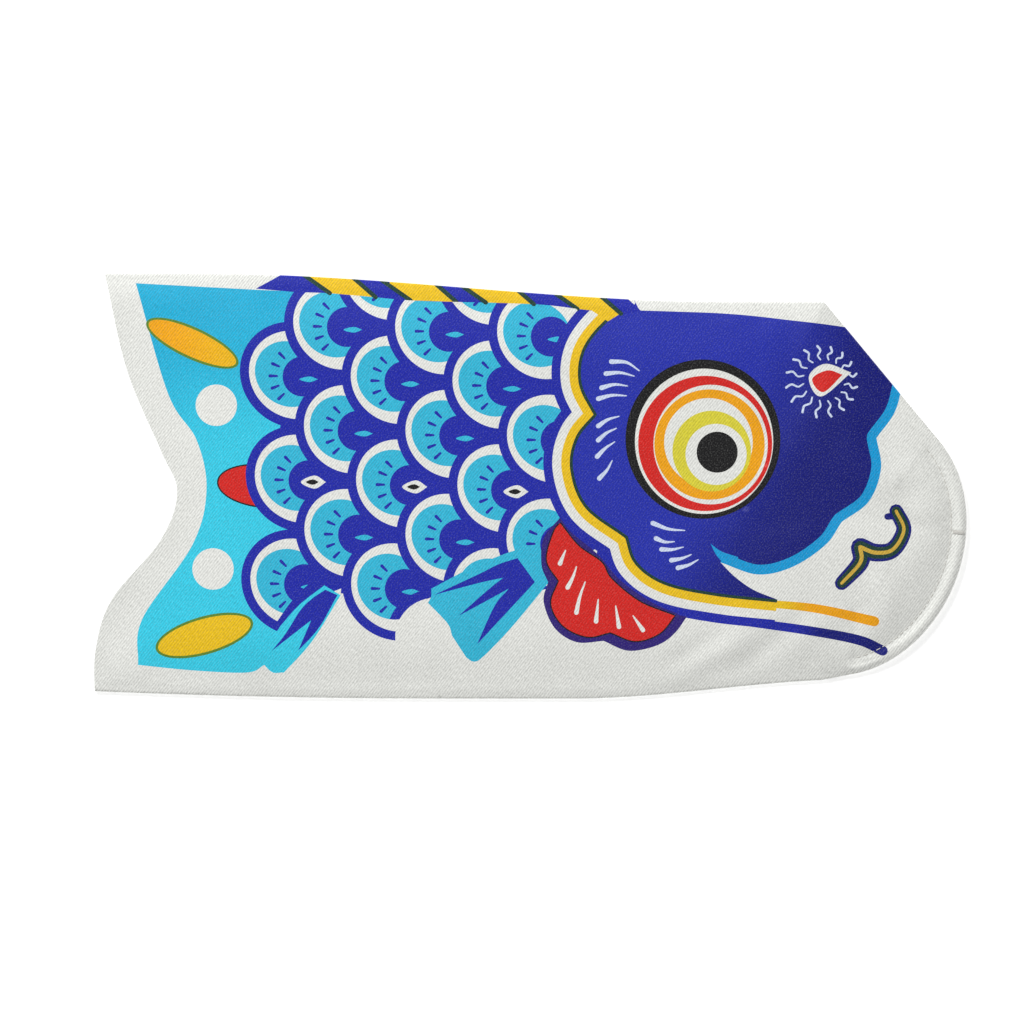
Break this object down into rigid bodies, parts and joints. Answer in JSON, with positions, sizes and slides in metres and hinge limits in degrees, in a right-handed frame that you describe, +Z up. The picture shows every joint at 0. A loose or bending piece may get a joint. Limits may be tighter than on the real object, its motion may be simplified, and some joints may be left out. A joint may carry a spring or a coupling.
{
  "type": "carp streamer",
  "caption": "Fish-shaped printed cloth windsock sleeve lying flat, with a springy hoop sewn into its mouth hem and an open, notched tail that lets the air out.",
  "frame": {"origin": "middle of the base on which the sleeve lies flat", "axes": "+X from the open tail to the mouth, +Y to the fish's back, +Z up out of the right side panel"},
  "size_m": [0.3998, 0.195, 0.0098],
  "materials": {
    "printed_cloth": "printed polyester satin twill, soft sheen, with a blue, yellow and white fish print",
    "hem_cloth": "unprinted white polyester satin twill",
    "sewn_seam": "overlocked cloth edge, matt",
    "sewing_thread": "twisted polyester thread",
    "hoop_plastic": "smooth drawn plastic rod",
    "joiner_plastic": "soft clear tubing, cut square"
  },
  "bodies": {
    "head": {"right_panel_head": "printed_cloth", "left_panel_head": "printed_cloth", "back_seam_head": "sewn_seam", "belly_seam_head": "sewn_seam", "mouth_hoop": "hoop_plastic", "hoop_joiner": "joiner_plastic", "mouth_hem_right": "hem_cloth", "mouth_hem_left": "hem_cloth", "hem_stitch_right": "sewing_thread", "hem_stitch_left": "sewing_thread", "string_tack_right": "sewing_thread", "string_tack_left": "sewing_thread"},
    "shoulder": {"right_panel_shoulder": "printed_cloth", "left_panel_shoulder": "printed_cloth", "back_seam_shoulder": "sewn_seam", "belly_seam_shoulder": "sewn_seam"},
    "trunk": {"right_panel_trunk": "printed_cloth", "left_panel_trunk": "printed_cloth", "back_seam_trunk": "sewn_seam", "belly_seam_trunk": "sewn_seam"},
    "tail": {"right_panel_tail": "printed_cloth", "left_panel_tail": "printed_cloth", "back_seam_tail": "sewn_seam", "belly_seam_tail": "sewn_seam"}
  },
  "joints": [
    {"name": "shoulder_fold", "type": "hinge", "parent": "head", "child": "shoulder", "pos_m": [0.088, 0, 0.0019], "axis": [0, 1, 0], "range_deg": [-60, 60]},
    {"name": "trunk_fold", "type": "hinge", "parent": "shoulder", "child": "trunk", "pos_m": [-0.008, 0, 0.0019], "axis": [0, 1, 0], "range_deg": [-60, 60]},
    {"name": "tail_fold", "type": "hinge", "parent": "trunk", "child": "tail", "pos_m": [-0.104, 0, 0.0019], "axis": [0, 1, 0], "range_deg": [-60, 60]}
  ]
}
